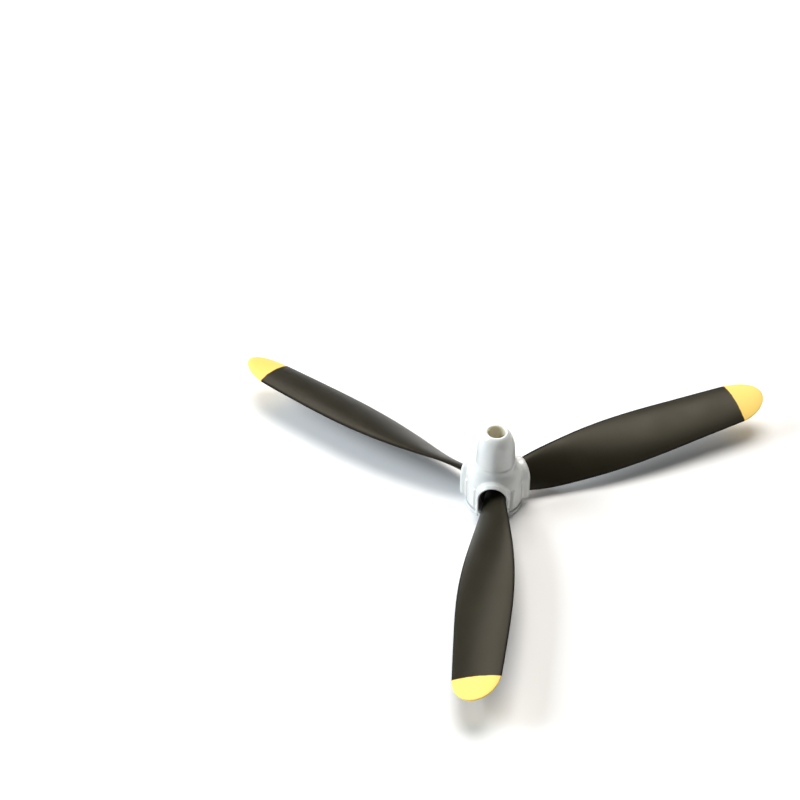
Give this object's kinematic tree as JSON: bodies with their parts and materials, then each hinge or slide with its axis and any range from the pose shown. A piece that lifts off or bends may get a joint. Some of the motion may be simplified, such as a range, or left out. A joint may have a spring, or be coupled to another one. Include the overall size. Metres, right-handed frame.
{
  "type": "model aircraft propeller",
  "caption": "Twisted-blade propeller with yellow tips on a small bored hub, closed behind by a round plate and in front by a hooded cover with a hollow bullet nose.",
  "frame": {"origin": "on the spin axis, in the rear face of the back plate, where the shaft enters", "axes": "+Z forward out of the nose along the spin axis, +X along the first blade; it turns counter-clockwise seen from the nose"},
  "size_m": [0.0981, 0.1109, 0.019],
  "materials": {
    "blade_black": "fine satin moulded nylon, with warm yellow painted tips",
    "cover_grey": "smooth semi-gloss light grey moulding",
    "plate_grey": "satin light grey moulding",
    "bush_brass": "turned brass"
  },
  "bodies": {
    "rotor": {"blade_rotor": "blade_black", "shaft_bush": "bush_brass", "back_plate": "plate_grey"},
    "cover": {"hub_cover": "cover_grey"}
  },
  "joints": [
    {"name": "cover_pull", "type": "slide", "parent": "rotor", "child": "cover", "axis": [0, 0, 1], "range_m": [0, 0.02]}
  ]
}
